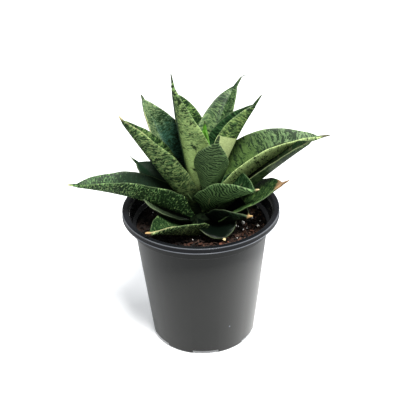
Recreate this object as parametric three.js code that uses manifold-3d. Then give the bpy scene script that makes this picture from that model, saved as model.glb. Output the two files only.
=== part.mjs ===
// A short rosette snake plant in a round nursery pot.
// Millimetres, +Z up. The origin is on the pot's axis, on the surface that the pot stands on.
// -Y is the front and +X is the right-hand side.

import * as THREE from 'three';
import { mergeVertices } from 'three/addons/utils/BufferGeometryUtils.js';
import Module from 'manifold-3d';

const wasm = await Module();
wasm.setup();

// ---- driving dimensions ----

const GAP = 0.35;              // clearance kept between neighbouring solids

// pot
const POT_HEIGHT = 104;
const RIM_RADIUS = 57;         // outside of the rolled rim
const RIM_DROP = 4.5;          // how far the rim's skirt hangs down
const RIM_INNER_RADIUS = 52.6;
const COLLAR_RADIUS = 51.9;    // stacking collar under the rim
const COLLAR_DEPTH = 12;       // from the top of the rim to the collar's lower edge
const COLLAR_STEP = 1.5;       // height of the step from the collar in to the wall
const WALL_TOP_RADIUS = 48.4;  // outside of the wall just under the collar
const BASE_RADIUS = 38.4;      // outside of the wall at the foot
const WALL = 1.2;
const FLOOR_UNDERSIDE = 3.5;
const FOOT_WIDTH = 3.4;        // width of the ring that the pot stands on
const FOOT_CORNER = 1.4;       // rounding of the foot's outer edge
const NOTCH_COUNT = 6;         // drainage notches in the foot ring
const NOTCH_WIDTH = 19;
const NOTCH_HEIGHT = 3;
const NOTCH_AZIMUTH = 271;     // the notch at the front
const DRAIN_RADIUS = 4;
const DRAIN_CIRCLE = 27;
const POT_SEGMENTS = 48;

// soil and crown
const SOIL_EDGE_Z = 90;        // where the soil meets the pot wall
const SOIL_SHOULDER_Z = 92.6;
const SOIL_TOP_Z = 93.6;       // around the crown
const SOIL_SEGMENTS = 36;
const CROWN_CENTRE = [3, -3];
const CROWN_RADIUS = 13.5;
const CROWN_FOOT_Z = 84;
const CROWN_TOP_Z = 104;
const CROWN_SEGMENTS = 18;

// every leaf
const LEAF_THICKNESS = 2.6;    // along the keel
const MARGIN_THICKNESS = 0.9;
const NECK = 0.9;              // fraction of the length where the spike begins, unless a leaf has its own
const SPIKE_RADIUS = 1.3;      // half width of the spike where it begins
const TIP_RADIUS = 0.35;
const BASE_WIDTH = 0.8;        // half width at the base as a fraction of the widest
const FULLNESS = 0.85;         // power of the outline's curve from the widest place to the neck
const CREASE = 0.35;           // softness of the channel's crease
const LEAF_STEPS = 13;
const ACROSS = [-1, -0.5, 0, 0.5, 1];

// One entry for each leaf, from the inside of the rosette outwards.
// base is the start of the spine in mm; heading and rise are the spine's bearing and slope at the
// base and at the tip in degrees (bearing 0 is +X and 90 is +Y); fold is the slope of the two
// halves against each other, and roll the turn of the blade about the spine, at base and tip.
// neck is the fraction of the length where the leaf's own spike begins.
const LEAVES = [
  { name: 'leaf_new_centre', base: [3.5, -0.5, 105], heading: [66, 68], rise: [86, 90],
    length: 67, width: 17, widest: 0.47, fold: [59, 27], roll: [0, 1] },
  { name: 'leaf_right_upright', base: [7.5, -1.5, 103.5], heading: [12, 7], rise: [79, 54],
    length: 94, width: 37, widest: 0.49, fold: [54, 59], roll: [-1, -10] },
  { name: 'leaf_centre_tall', base: [-2, -4.5, 102], heading: [212, 209], rise: [79, 83],
    length: 114, width: 41, widest: 0.47, fold: [52, 10], roll: [8, -4] },
  { name: 'leaf_back_right_tall', base: [5.5, 2, 102.5], heading: [62.5, 54], rise: [93, 27],
    length: 102, width: 31, widest: 0.43, fold: [61, 19], roll: [1, 7], neck: 0.908 },
  { name: 'leaf_back_tall', base: [1, 3, 101.5], heading: [114, 113], rise: [90, 22],
    length: 97, width: 31, widest: 0.46, fold: [61, 32], roll: [-2, -8] },
  { name: 'leaf_left_long', base: [-4, -3.5, 100], heading: [186, 195], rise: [57, 61],
    length: 98.5, width: 37, widest: 0.45, fold: [58, 42], roll: [7, 3], neck: 0.942 },
  { name: 'leaf_right_long', base: [8.5, -2, 100.5], heading: [11.5, 11], rise: [57, 3.5],
    length: 104.2, width: 48, widest: 0.36, fold: [53, 48], roll: [4, 3], neck: 0.913 },
  { name: 'leaf_back_left', base: [-3, 2, 99.5], heading: [137, 125], rise: [53, 50],
    length: 93.5, width: 45.5, widest: 0.41, fold: [56, 47], roll: [0, -11], neck: 0.95 },
  { name: 'leaf_front_upright', base: [5, -8, 105.5], heading: [268, 302], rise: [68, 65],
    length: 82, width: 31, widest: 0.42, fold: [74, 4], roll: [-8, -32] },
  { name: 'leaf_front_right_cup', base: [5, -5.5, 104], heading: [324, 317], rise: [42, 29],
    length: 56, width: 40, widest: 0.47, fold: [52, 48], roll: [0, -4] },
  { name: 'leaf_left_low', base: [-6.5, -4, 97.5], heading: [185, 188], rise: [33, 11],
    length: 94.4, width: 34, widest: 0.45, fold: [74, 40], roll: [7, -2], neck: 0.927 },
  { name: 'leaf_right_under', base: [12, -3, 98], heading: [1, -3.5], rise: [47.5, 36],
    length: 90, width: 36, widest: 0.48, fold: [44, 28], roll: [3, -3], neck: 0.963 },
  { name: 'leaf_back_left_low', base: [-6, 2, 97], heading: [143, 137], rise: [29, 22],
    length: 64, width: 33, widest: 0.47, fold: [57, 21], roll: [0, -4] },
  { name: 'leaf_right_brown_tip', base: [14, -5.5, 96.5], heading: [-18, -23], rise: [41, 36],
    length: 65, width: 38, widest: 0.5, fold: [12, 8], roll: [-3, 8] },
  { name: 'leaf_front_right_short', base: [11.5, -9.5, 95.5], heading: [317, 320], rise: [31, 27],
    length: 37, width: 35, widest: 0.47, fold: [46, 48], roll: [0, -1] },
  { name: 'leaf_left_under', base: [-7, -5, 94], heading: [177, 180], rise: [18, 60],
    length: 51, width: 33, widest: 0.47, fold: [52, 18], roll: [-14, -18] },
  { name: 'leaf_front_left_low', base: [-1.5, -15.5, 89.5], heading: [216, 216], rise: [27, 19],
    length: 50, width: 39, widest: 0.41, fold: [27, 36], roll: [21, 2] },
  { name: 'leaf_front_low', base: [7, -12, 95], heading: [291, 291], rise: [17, -7],
    length: 26, width: 31, widest: 0.47, fold: [44, 4], roll: [1, 2] },
  { name: 'leaf_back_low_left', base: [-2, 6, 97], heading: [118, 120], rise: [34, 6],
    length: 56, width: 30, widest: 0.46, fold: [56, 34], roll: [0, 0] },
  { name: 'leaf_back_low', base: [3, 7, 97], heading: [88, 86], rise: [38, 10],
    length: 52, width: 31, widest: 0.46, fold: [56, 34], roll: [0, 0] },
  { name: 'leaf_back_low_right', base: [9, 5, 97], heading: [44, 40], rise: [34, 8],
    length: 60, width: 30, widest: 0.46, fold: [56, 34], roll: [0, 0] },
];

// ---- materials ----

const material = (color, roughness) => new THREE.MeshStandardMaterial({ color, roughness, metalness: 0 });
const POT_PLASTIC = material(0x2b2c2f, 0.38);
const SOIL_BARK = material(0x3a231b, 0.95);
const CROWN_SKIN = material(0x9a9468, 0.8);
const LEAF_GREEN = material(0x5f7a4c, 0.5);

// ---- solids ----

// Turns a closed three.js geometry into a solid that can be cut.
function solidOf(geometry) {
  const bare = geometry.clone();
  bare.deleteAttribute('normal');
  bare.deleteAttribute('uv');
  const merged = mergeVertices(bare, 1e-4);
  return new wasm.Manifold(new wasm.Mesh({
    numProp: 3,
    vertProperties: new Float32Array(merged.attributes.position.array),
    triVerts: new Uint32Array(merged.index.array),
  }));
}

// Turns the largest body of a solid back into a named mesh.
function meshOf(name, solid, look) {
  const bodies = solid.decompose();
  const largest = bodies.reduce((a, b) => (b.volume() > a.volume() ? b : a));
  const { numProp, vertProperties, triVerts } = largest.getMesh();
  const points = [];
  for (let i = 0; i < vertProperties.length; i += numProp) {
    points.push(vertProperties[i], vertProperties[i + 1], vertProperties[i + 2]);
  }
  const geometry = new THREE.BufferGeometry();
  geometry.setAttribute('position', new THREE.Float32BufferAttribute(points, 3));
  geometry.setIndex([...triVerts]);
  geometry.computeVertexNormals();
  const mesh = new THREE.Mesh(geometry, look);
  mesh.name = name;
  return mesh;
}

// A solid of revolution about +Z from [radius, height] points.
function turned(outline, segments) {
  const points = outline.map(([radius, height]) => new THREE.Vector2(radius, height));
  return new THREE.LatheGeometry(points, segments).rotateX(Math.PI / 2);
}

const mix = (pair, s) => pair[0] + (pair[1] - pair[0]) * s;
const radians = THREE.MathUtils.degToRad;

// ---- pot ----

function potOutline() {
  const top = POT_HEIGHT;
  const footInner = BASE_RADIUS - FOOT_WIDTH;
  const collarFoot = top - COLLAR_DEPTH;
  const wallTop = collarFoot - COLLAR_STEP;
  const floorTop = FLOOR_UNDERSIDE + WALL + 0.3;
  return [
    [0, FLOOR_UNDERSIDE],
    [footInner, FLOOR_UNDERSIDE],
    [footInner, 0],
    [BASE_RADIUS - FOOT_CORNER, 0],
    [BASE_RADIUS - 0.3, FOOT_CORNER],
    [WALL_TOP_RADIUS, wallTop],
    [COLLAR_RADIUS - 0.6, collarFoot],
    [COLLAR_RADIUS, top - RIM_DROP],
    [COLLAR_RADIUS, top - WALL],
    [RIM_RADIUS - WALL - 0.4, top - WALL],
    [RIM_RADIUS - WALL - 0.4, top - RIM_DROP],
    [RIM_RADIUS - 0.3, top - RIM_DROP],
    [RIM_RADIUS, top - 0.6],
    [RIM_RADIUS - 0.6, top],
    [RIM_INNER_RADIUS, top],
    [COLLAR_RADIUS - WALL, top - 1.4],
    [COLLAR_RADIUS - WALL - 0.6, collarFoot + 0.2],
    [WALL_TOP_RADIUS - WALL, wallTop + 0.2],
    [BASE_RADIUS - WALL, floorTop + 1.2],
    [BASE_RADIUS - WALL - 1.2, floorTop],
    [0, floorTop],
  ];
}

function buildPot() {
  let pot = solidOf(turned(potOutline(), POT_SEGMENTS));
  for (let i = 0; i < NOTCH_COUNT; i += 1) {
    const angle = radians(NOTCH_AZIMUTH + (i * 360) / NOTCH_COUNT);
    const notch = new THREE.BoxGeometry(12, NOTCH_WIDTH, NOTCH_HEIGHT * 2);
    notch.translate(BASE_RADIUS, 0, 0).rotateZ(angle);
    pot = pot.subtract(solidOf(notch));
    const drain = new THREE.CylinderGeometry(DRAIN_RADIUS, DRAIN_RADIUS, 20, 16).rotateX(Math.PI / 2);
    drain.translate(DRAIN_CIRCLE, 0, 0).rotateZ(angle);
    pot = pot.subtract(solidOf(drain));
  }
  return meshOf('nursery_pot', pot, POT_PLASTIC);
}

// ---- soil and crown ----

// The crown is the short, knuckly stem that all the leaves grow from; grow adds clearance.
function crownSolid(grow) {
  const height = CROWN_TOP_Z - CROWN_FOOT_Z;
  const outline = [0, 0.12, 0.3, 0.5, 0.7, 0.88, 1].map((t) => {
    const radius = CROWN_RADIUS * Math.sqrt(Math.sin(Math.PI * t ** 0.8));
    const reach = t === 0 || t === 1 ? 0 : radius + grow;
    return [reach, CROWN_FOOT_Z - grow + t * (height + 2 * grow)];
  });
  return solidOf(turned(outline, CROWN_SEGMENTS).translate(...CROWN_CENTRE, 0));
}

// The soil fills the pot's inside; grow lifts its surface by the clearance.
function soilSolid(grow) {
  const floor = FLOOR_UNDERSIDE + WALL + 0.3 + GAP;
  const footRadius = BASE_RADIUS - WALL - GAP;
  const topRadius = WALL_TOP_RADIUS - WALL - GAP - 0.2;
  const outline = [
    [0, floor],
    [footRadius - 1.2, floor],
    [footRadius, floor + 1.2],
    [topRadius, SOIL_EDGE_Z + grow],
    [topRadius - 6, SOIL_SHOULDER_Z + grow],
    [24, SOIL_TOP_Z + grow],
    [0, SOIL_TOP_Z + grow],
  ];
  return solidOf(turned(outline, SOIL_SEGMENTS));
}

// ---- leaves ----

// Half width of a blade at fraction s of its length.
function halfWidth(leaf, s) {
  const full = leaf.width / 2;
  const neck = leaf.neck ?? NECK;
  if (s < leaf.widest) {
    return full * (BASE_WIDTH + (1 - BASE_WIDTH) * Math.sin((Math.PI / 2) * (s / leaf.widest)));
  }
  if (s < neck) {
    const t = (s - leaf.widest) / (neck - leaf.widest);
    return SPIKE_RADIUS + (full - SPIKE_RADIUS) * Math.cos((Math.PI / 2) * t) ** FULLNESS;
  }
  return SPIKE_RADIUS + (TIP_RADIUS - SPIKE_RADIUS) * ((s - neck) / (1 - neck));
}

// The spine's points, each with the directions along it, across the blade and up out of it.
function spineFrames(leaf, steps) {
  const fine = 8;
  const point = new THREE.Vector3(...leaf.base);
  const step = leaf.length / (steps * fine);
  const frames = [];
  for (let i = 0; i <= steps * fine; i += 1) {
    const s = i / (steps * fine);
    const bearing = radians(mix(leaf.heading, s));
    const slope = radians(mix(leaf.rise, s));
    const along = new THREE.Vector3(
      Math.cos(slope) * Math.cos(bearing), Math.cos(slope) * Math.sin(bearing), Math.sin(slope));
    if (i % fine === 0) {
      const roll = radians(mix(leaf.roll, s));
      const across = new THREE.Vector3(-Math.sin(bearing), Math.cos(bearing), 0)
        .applyAxisAngle(along, roll);
      const out = new THREE.Vector3().crossVectors(along, across);
      frames.push({ s, point: point.clone(), across, out });
    }
    point.addScaledVector(along, step);
  }
  return frames;
}

// One closed section: the upper face from margin to margin, then the lower face back.
function section(leaf, frame, grow) {
  const { s, point, across, out } = frame;
  const half = halfWidth(leaf, s) + grow;
  const fold = radians(mix(leaf.fold, s));
  const soft = Math.sqrt(1 + CREASE * CREASE) - CREASE;
  const keel = Math.min(LEAF_THICKNESS, half * 1.6) / 2 + grow;
  const margin = Math.min(MARGIN_THICKNESS, half) / 2 + grow;
  const upper = [];
  const lower = [];
  for (const u of ACROSS) {
    const bow = Math.sqrt(u * u + CREASE * CREASE);
    const x = half * u * Math.cos(fold);
    const z = (half * Math.sin(fold) * (bow - CREASE)) / soft;
    const slopeX = Math.cos(fold);
    const slopeZ = (Math.sin(fold) * u) / (bow * soft);
    const length = Math.hypot(slopeX, slopeZ);
    const thick = margin + (keel - margin) * Math.sqrt(1 - u * u);
    const place = (side) => point.clone()
      .addScaledVector(across, x - (side * thick * slopeZ) / length)
      .addScaledVector(out, z + (side * thick * slopeX) / length);
    upper.push(place(1));
    lower.unshift(place(-1));
  }
  return [...upper, ...lower];
}

function leafSolid(leaf, grow) {
  const rings = spineFrames(leaf, LEAF_STEPS).map((frame) => section(leaf, frame, grow));
  const count = ACROSS.length * 2;
  const positions = rings.flat().flatMap((p) => [p.x, p.y, p.z]);
  const index = [];
  const quad = (a, b, c, d) => index.push(a, c, b, a, d, c);
  for (let r = 0; r < rings.length - 1; r += 1) {
    for (let i = 0; i < count; i += 1) {
      const j = (i + 1) % count;
      quad(r * count + i, r * count + j, (r + 1) * count + j, (r + 1) * count + i);
    }
  }
  const last = (rings.length - 1) * count;
  for (let i = 0; i < ACROSS.length - 1; i += 1) {
    const far = count - 1 - i;
    quad(far, far - 1, i + 1, i);
    quad(last + i, last + i + 1, last + far - 1, last + far);
  }
  const geometry = new THREE.BufferGeometry();
  geometry.setAttribute('position', new THREE.Float32BufferAttribute(positions, 3));
  geometry.setIndex(index);
  return solidOf(geometry);
}

// Each leaf clasps the ones inside it: it is cut back where they, the crown and the soil are.
function buildLeaves() {
  const taken = [crownSolid(GAP), soilSolid(GAP)];
  return LEAVES.map((leaf) => {
    const blade = taken.reduce((solid, inner) => solid.subtract(inner), leafSolid(leaf, 0));
    taken.push(leafSolid(leaf, GAP));
    return meshOf(leaf.name, blade, LEAF_GREEN);
  });
}

const plant = new THREE.Group();
plant.add(buildPot());
plant.add(meshOf('potting_soil', soilSolid(0).subtract(crownSolid(GAP)), SOIL_BARK));
plant.add(meshOf('crown', crownSolid(0), CROWN_SKIN));
for (const leaf of buildLeaves()) plant.add(leaf);

export default plant;
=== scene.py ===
"""A short rosette snake plant in a round black nursery pot, on a pale studio floor.

Lengths in this script are in millimetres until mesh_piece() turns them into metres.
-Y is the front, +X the right, and the pot's axis stands on the origin.
"""

import math
from types import SimpleNamespace

import bpy
import numpy as np
from mathutils import Matrix, Vector


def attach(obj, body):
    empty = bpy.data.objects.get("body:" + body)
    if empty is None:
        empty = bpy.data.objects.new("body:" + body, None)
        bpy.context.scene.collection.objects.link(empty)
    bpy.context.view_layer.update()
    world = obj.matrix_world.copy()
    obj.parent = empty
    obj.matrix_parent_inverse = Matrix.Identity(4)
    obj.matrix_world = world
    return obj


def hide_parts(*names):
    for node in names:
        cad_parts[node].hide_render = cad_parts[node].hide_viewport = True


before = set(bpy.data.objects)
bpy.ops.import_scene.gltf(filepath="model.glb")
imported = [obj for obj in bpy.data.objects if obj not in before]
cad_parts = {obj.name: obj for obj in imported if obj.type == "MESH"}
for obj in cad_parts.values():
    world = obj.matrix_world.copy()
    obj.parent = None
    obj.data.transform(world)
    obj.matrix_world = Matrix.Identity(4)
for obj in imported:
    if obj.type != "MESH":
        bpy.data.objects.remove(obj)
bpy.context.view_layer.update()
MM = 0.001

# ---- leaf shapes, as in the CAD model ----

LEAF_THICKNESS = 2.6
MARGIN_THICKNESS = 0.6
NECK = 0.9
SPIKE_RADIUS = 1.3
TIP_RADIUS = 0.35
BASE_WIDTH = 0.8
FULLNESS = 0.85
CREASE = 0.35

# Grounds of the blades.
OLIVE = (0.26, 0.37, 0.08)
SAGE = (0.15, 0.24, 0.08)
PALE_SAGE = (0.22, 0.33, 0.12)
SILVER = (0.10, 0.18, 0.08)
BRIGHT = (0.13, 0.34, 0.04)
PLAIN_PATCH = (0.46, 0.55, 0.26)
# Margins and dried tips.
MARGIN_PALE = (0.24, 0.30, 0.16)
CREAM = (0.78, 0.66, 0.38)
STRAW = (0.62, 0.44, 0.22)
TAN = (0.32, 0.21, 0.12)
HORN = (0.08, 0.11, 0.06)
UMBER = (0.13, 0.13, 0.08)
# Dark marks, and the painted shade on the bases.
DEEP = (0.006, 0.022, 0.007)
BLACKISH = (0.0015, 0.005, 0.0025)

# s runs along a blade, from 0 at its base to 1 at its tip. u runs across it, from -1 to 1, with
# 1 on the left for someone who looks from the base to the tip. Face 1 is the inner one, -1 the
# outer one. In a range, the first number is where the thing is absent and the second where it is
# full.
DEFAULT_LOOK = dict(
    inner=(SAGE, 0.5),     # ground of the inner face, and how much of it the dark marks cover
    outer=(OLIVE, 0.5),    # the same for the outer face
    deep=DEEP,             # colour of the marks
    marked=0.93,           # strength of the marks
    fleck=0.32,            # share of fine specks in them
    cracks=0.5,            # strength of the thin dark lines across the blade
    lines=0.0,             # strength of the fine contour lines on the outer face
    coarse=1.0,            # size of the marks
    zones=0.8,             # how much the cover varies along the blade
    tip_dark=0.2,          # how much more the marks cover towards the tip
    mid=0.85,              # strength of the ground's middle tone
    flank=None,            # part with a ground of its own, on some leaves painted shade and on leaf_back_right_tall painted light: (face, u range, s range, colour)
    base_dark=0.6,         # how dark the painted shade on the base is
    dark_to=0.34,          # how far along the blade that reaches
    tip=HORN,              # colour of the dried tip
    tip_from=0.96,         # where along the blade it begins
    hair=None,             # dried thread at the tip: (length, degrees to the right, degrees up)
    marks=(),              # plain or cream parts: (kind, s from, s to, u from, u to, strength)
)


def leaf(name, base, heading, rise, length, width, widest, fold, roll, neck=NECK, **look):
    """One leaf: its shape as in the CAD model, and what differs from the default look."""
    shape = dict(name=name, base=base, heading=heading, rise=rise, length=length, width=width,
                 widest=widest, fold=fold, roll=roll, neck=neck)
    return {**shape, **DEFAULT_LOOK, **look}


# From the inside of the rosette outwards. heading, rise, fold and roll are degrees at base and tip.
LEAVES = [
    leaf("leaf_new_centre", (3.5, -0.5, 105), (66, 68), (86, 90), 67, 17, 0.47, (59, 27), (0, 1),
         inner=(BRIGHT, 0.0), outer=(BRIGHT, 0.0), tip_dark=0.0, marked=0.0),
    leaf("leaf_right_upright", (7.5, -1.5, 103.5), (12, 7), (79, 54), 94, 37, 0.49, (54, 59), (-1, -10),
         inner=((0.07, 0.15, 0.06), 0.62), outer=((0.25, 0.35, 0.12), 0.60), cracks=0.9,
         marks=[("plain", 0.42, 0.62, -1.0, 0.1, 1.0)]),
    # Painted shade: the flank darkens the half of the outer face that turns away from the light.
    leaf("leaf_centre_tall", (-2, -4.5, 102), (212, 209), (79, 83), 114, 41, 0.47, (52, 10), (8, -4),
         inner=(SILVER, 0.5), outer=((0.47, 0.64, 0.25), 0.30), cracks=1.0, tip_dark=1.1, mid=0.7,
         flank=(-1, (0.04, -0.08), (-1, 0), (0.05, 0.11, 0.07))),
    # Painted light: the flank gives the inner face a paler ground towards the base, where it would sit in
    # shade.
    leaf("leaf_back_right_tall", (5.5, 2, 102.5), (62.5, 54), (93, 27), 102, 31, 0.43, (61, 19), (1, 7),
         neck=0.908,
         inner=((0.16, 0.24, 0.10), 0.60), base_dark=0.05, hair=(7, 70, -50),
         flank=(1, (1.9, 1.5), (0.55, 0.35), (0.26, 0.41, 0.14))),
    leaf("leaf_back_tall", (1, 3, 101.5), (114, 113), (90, 22), 97, 31, 0.46, (61, 32), (-2, -8),
         inner=((0.22, 0.34, 0.11), 0.68), fleck=0.6),
    # Painted shade: the lower half of the blade is darkened strongly, for the shade between the leaves.
    leaf("leaf_left_long", (-4, -3.5, 100), (186, 195), (57, 61), 98.5, 37, 0.45, (58, 42), (7, 3),
         neck=0.942,
         inner=(PALE_SAGE, 0.6), outer=((0.42, 0.56, 0.22), 0.62), cracks=0.9,
         base_dark=0.97, dark_to=0.56, tip=CREAM, tip_from=0.975,
         marks=[("cream", 0.78, 0.95, 0.5, 1.0, 0.5)]),
    # Partly painted light: the pale outer ground is brightened past the leaf's own paleness, for light on
    # the strip that faces down.
    leaf("leaf_right_long", (8.5, -2, 100.5), (11.5, 11), (57, 3.5), 104.2, 48, 0.36, (53, 48), (4, 3),
         neck=0.913,
         inner=((0.195, 0.295, 0.137), 0.57), outer=((0.60, 0.77, 0.33), 0.30), cracks=1.0,
         coarse=1.1, zones=1.3, mid=0.4, tip=UMBER, tip_from=0.93,
         flank=(1, (1.9, 1.5), (0.68, 0.46), (0.098, 0.165, 0.048)),
         marks=[("cream", 0.3, 0.84, -1.0, -0.5, 0.12)]),
    leaf("leaf_back_left", (-3, 2, 99.5), (137, 125), (53, 50), 93.5, 45.5, 0.41, (56, 47), (0, -11),
         neck=0.95,
         inner=((0.26, 0.35, 0.18), 0.46), outer=(SAGE, 0.4), cracks=0.8,
         flank=(1, (0.30, -0.15), (0.84, 0.62), (0.050, 0.128, 0.095)),
         marks=[("cream", 0.5, 0.85, 0.5, 1.0, 0.35)]),
    leaf("leaf_front_upright", (5, -8, 105.5), (268, 302), (68, 65), 82, 31, 0.42, (74, 4), (-8, -32),
         inner=(SILVER, 0.6), outer=((0.18, 0.29, 0.12), 0.15), cracks=0.6, lines=0.92,
         tip_dark=0.1, base_dark=0.8),
    leaf("leaf_front_right_cup", (5, -5.5, 104), (324, 317), (42, 29), 56, 40, 0.47, (52, 48), (0, -4),
         inner=(SILVER, 0.65), outer=((0.22, 0.37, 0.15), 0.15), cracks=0.7, lines=0.95,
         tip=CREAM, tip_from=0.95),
    # Painted shade: the flank gives the shaded far half of the inner face a near-black green.
    leaf("leaf_left_low", (-6.5, -4, 97.5), (185, 188), (33, 11), 94.4, 34, 0.45, (74, 40), (7, -2),
         neck=0.927,
         inner=((0.22, 0.38, 0.15), 0.80), outer=((0.62, 0.88, 0.36), 0.74), fleck=0.75, zones=0.5,
         tip_dark=-0.25, base_dark=0.35, tip=CREAM, tip_from=0.985,
         flank=(1, (0.3, 0.1), (0.72, 0.5), (0.020, 0.068, 0.038))),
    leaf("leaf_right_under", (12, -3, 98), (1, -3.5), (47.5, 36), 90, 36, 0.48, (44, 28), (3, -3),
         neck=0.963,
         inner=((0.07, 0.07, 0.04), 0.7), outer=((0.10, 0.15, 0.065), 0.5), fleck=0.7,
         marks=[("cream", 0.3, 0.97, -1.0, -0.5, 0.12)]),
    leaf("leaf_back_left_low", (-6, 2, 97), (143, 137), (29, 22), 64, 33, 0.47, (57, 21), (0, -4),
         inner=((0.014, 0.05, 0.028), 0.8), outer=(SAGE, 0.6), hair=(7, 40, 10)),
    leaf("leaf_right_brown_tip", (14, -5.5, 96.5), (-18, -23), (41, 36), 65, 38, 0.5, (12, 8), (-3, 8),
         inner=(SAGE, 0.66), outer=(SAGE, 0.6), tip=TAN, tip_from=0.84),
    # Painted shade: the whole leaf is painted near-black, for the deep shade under leaf_front_right_cup.
    leaf("leaf_front_right_short", (11.5, -9.5, 95.5), (317, 320), (31, 27), 37, 35, 0.47, (46, 48), (0, -1),
         inner=((0.007, 0.018, 0.011), 0.9), outer=((0.09, 0.16, 0.08), 0.75), deep=BLACKISH,
         base_dark=0.97, dark_to=1.0, tip=STRAW, tip_from=0.9),
    # Painted shade: almost the whole blade is darkened, for the shade under leaf_left_low.
    leaf("leaf_left_under", (-7, -5, 94), (177, 180), (18, 60), 51, 33, 0.47, (52, 18), (-14, -18),
         inner=((0.13, 0.17, 0.10), 0.4), outer=((0.15, 0.18, 0.12), 0.3), base_dark=1.0, dark_to=0.95),
    # Partly painted light: the outer ground is brightened past the leaf's own paleness, for light on the
    # face that turns down to the front.
    leaf("leaf_front_left_low", (-1.5, -15.5, 89.5), (216, 216), (27, 19), 50, 39, 0.41, (27, 36), (21, 2),
         inner=((0.18, 0.27, 0.11), 0.70), outer=((0.60, 0.78, 0.34), 0.66), fleck=0.7, zones=0.5,
         base_dark=0.3, dark_to=0.4, tip=STRAW, tip_from=0.93,
         marks=[("cream", 0.68, 1.0, 0.6, 1.0, 0.6)]),
    # Painted shade: the inner face is painted near-black, with a lighter strip along one side (flank), for
    # the deep shade under the front leaves.
    leaf("leaf_front_low", (7, -12, 95), (291, 291), (17, -7), 26, 31, 0.47, (44, 4), (1, 2),
         inner=((0.006, 0.015, 0.008), 0.9), outer=(SAGE, 0.7), deep=BLACKISH,
         base_dark=0.9, dark_to=0.8, tip=CREAM, tip_from=0.93,
         flank=(1, (0.35, 0.7), (-1, 0), (0.035, 0.08, 0.04))),
    leaf("leaf_back_low_left", (-2, 6, 97), (118, 120), (34, 6), 56, 30, 0.46, (56, 34), (0, 0),
         inner=(SAGE, 0.6), outer=(SAGE, 0.5)),
    leaf("leaf_back_low", (3, 7, 97), (88, 86), (38, 10), 52, 31, 0.46, (56, 34), (0, 0),
         inner=(SAGE, 0.62), outer=(SAGE, 0.5)),
    leaf("leaf_back_low_right", (9, 5, 97), (44, 40), (34, 8), 60, 30, 0.46, (56, 34), (0, 0),
         inner=(SAGE, 0.6), outer=(SAGE, 0.5)),
]


# ---- meshes ----

def mesh_piece(name, points, faces, material, attributes=None, smooth=True):
    """Makes an object from points in millimetres. attributes holds one vector for each point."""
    mesh = bpy.data.meshes.new(name)
    mesh.from_pydata([tuple(p) for p in np.asarray(points) * MM], [], [tuple(f) for f in faces])
    mesh.update()
    for key, values in (attributes or {}).items():
        layer = mesh.attributes.new(key, "FLOAT_VECTOR", "POINT")
        layer.data.foreach_set("vector", np.asarray(values, np.float32).ravel())
    mesh.materials.append(material)
    for polygon in mesh.polygons:
        polygon.use_smooth = smooth
    piece = bpy.data.objects.new(name, mesh)
    bpy.context.scene.collection.objects.link(piece)
    return piece


def stand_for(piece, slot, *nodes):
    """The piece rides on the one body and stands for CAD nodes; slot is not used."""
    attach(piece, "root")
    if nodes:
        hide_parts(*nodes)


def add_shape(points, faces, shape_points, shape_faces):
    """Adds a shape's points and faces to lists that may hold others."""
    start = len(points)
    points += [tuple(p) for p in shape_points]
    faces += [tuple(i + start for i in face) for face in shape_faces]


def around(radius, angle, z, centre=(0, 0)):
    """A point at a distance and a bearing from an upright axis."""
    return (centre[0] + radius * math.cos(angle), centre[1] + radius * math.sin(angle), z)


def circle(count, shift=0.0):
    """Evenly spaced angles round a circle, shifted by a share of their spacing."""
    return [2 * math.pi * (k + shift) / count for k in range(count)]


def band_faces(rings, count, start=0):
    """Quads between rings of points that follow each other from the point at start."""
    faces = []
    for r in range(rings - 1):
        a, b = start + r * count, start + (r + 1) * count
        for k in range(count):
            n = (k + 1) % count
            faces.append((a + k, b + k, b + n, a + n))
    return faces


def ring_faces(rings, count):
    """Quads between rings of points, with a cap at each end."""
    caps = [tuple(range(count)), tuple((rings - 1) * count + i for i in reversed(range(count)))]
    return band_faces(rings, count) + caps


def turned_over(faces):
    """The faces, looking the other way."""
    return [(face[0], *reversed(face[1:])) for face in faces]


def smoothstep(low, high, value):
    """0 below low, 1 above high, and smooth between."""
    t = np.clip((value - low) / (high - low), 0, 1)
    return t * t * (3 - 2 * t)


def wander(values, seed, rate):
    """A smooth curve within about -1 to 1 through seeded phases, for natural unevenness."""
    random = np.random.default_rng(seed)
    total = 0
    for octave in range(3):
        phase = random.uniform(0, 2 * math.pi)
        speed = rate * 2 ** octave * random.uniform(0.8, 1.2)
        total = total + np.sin(values * speed * 2 * math.pi + phase) / 2 ** octave
    return total / 1.75


# ---- leaf blades ----

SPINE_STEPS = 104
ACROSS_STEPS = 28
RIPPLE = 0.022
RIPPLE_RATE = 1.6
WAVE = 0.75
WAVE_RATE = 1.9
HAIR_STEPS = 10
HAIR_SIDES = 8
HAIR_ROOT = 1.5


def half_width(shape, s):
    """Half width of a blade at fraction s of its length."""
    full = shape["width"] / 2
    widest, neck = shape["widest"], shape["neck"]
    if s < widest:
        return full * (BASE_WIDTH + (1 - BASE_WIDTH) * math.sin(math.pi / 2 * s / widest))
    if s < neck:
        t = (s - widest) / (neck - widest)
        return SPIKE_RADIUS + (full - SPIKE_RADIUS) * math.cos(math.pi / 2 * t) ** FULLNESS
    return SPIKE_RADIUS + (TIP_RADIUS - SPIKE_RADIUS) * (s - neck) / (1 - neck)


def mix(pair, s):
    """The value at s, between a pair's values at base and tip."""
    return pair[0] + (pair[1] - pair[0]) * s


def turn(vector, axis, angle):
    """The vector turned about an axis."""
    return (vector * math.cos(angle) + np.cross(axis, vector) * math.sin(angle)
            + axis * np.dot(axis, vector) * (1 - math.cos(angle)))


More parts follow.
